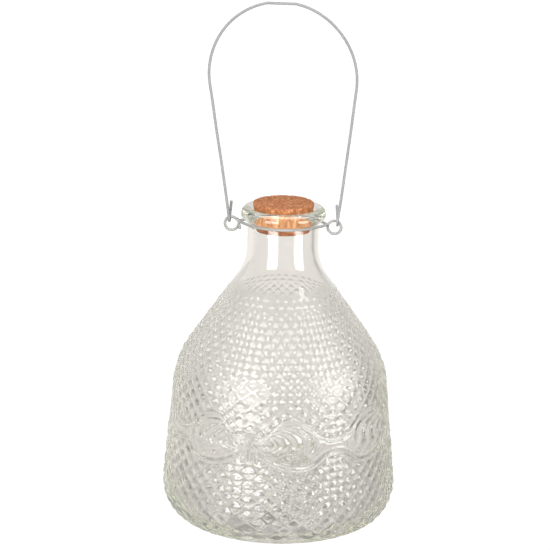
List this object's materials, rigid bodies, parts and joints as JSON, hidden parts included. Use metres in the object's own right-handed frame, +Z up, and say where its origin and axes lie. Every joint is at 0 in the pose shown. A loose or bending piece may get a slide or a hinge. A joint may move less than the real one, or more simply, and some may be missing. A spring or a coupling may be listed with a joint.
{
  "type": "fly trap",
  "caption": "Hanging glass fly trap: a bottle-shaped jar with diamond relief and a funnel in its base, a cork in its mouth, a wire collar round its neck and a wire bail handle.",
  "frame": {"origin": "centre of the foot ring, on the surface that the jar stands on", "axes": "+Z up the jar's axis, +X through the collar's right eye, -Y towards the viewer of the picture"},
  "size_m": [0.1394, 0.1394, 0.3089],
  "materials": {
    "glass": "clear pressed glass, smooth neck, relief below",
    "cork": "natural cork, matt, fine pores",
    "collar_wire": "bright galvanised wire",
    "handle_wire": "bright galvanised wire"
  },
  "bodies": {
    "jar": {"glass_foot": "glass", "entry_funnel": "glass", "glass_belly": "glass", "glass_shoulder": "glass", "glass_neck": "glass"},
    "cork": {"cork_stopper": "cork"},
    "collar": {"neck_wire": "collar_wire"},
    "handle": {"bail_handle": "handle_wire"}
  },
  "joints": [
    {"name": "cork_pull", "type": "slide", "parent": "jar", "child": "cork", "axis": [0, 0, 1], "range_m": [0, 0.03]},
    {"name": "collar_turn", "type": "hinge", "parent": "jar", "child": "collar", "pos_m": [0, 0, 0.1795], "axis": [0, 0, 1], "continuous": true},
    {"name": "handle_swing", "type": "hinge", "parent": "collar", "child": "handle", "pos_m": [0, 0, 0.18168], "axis": [1, 0, 0], "range_deg": [-146, 140]}
  ]
}
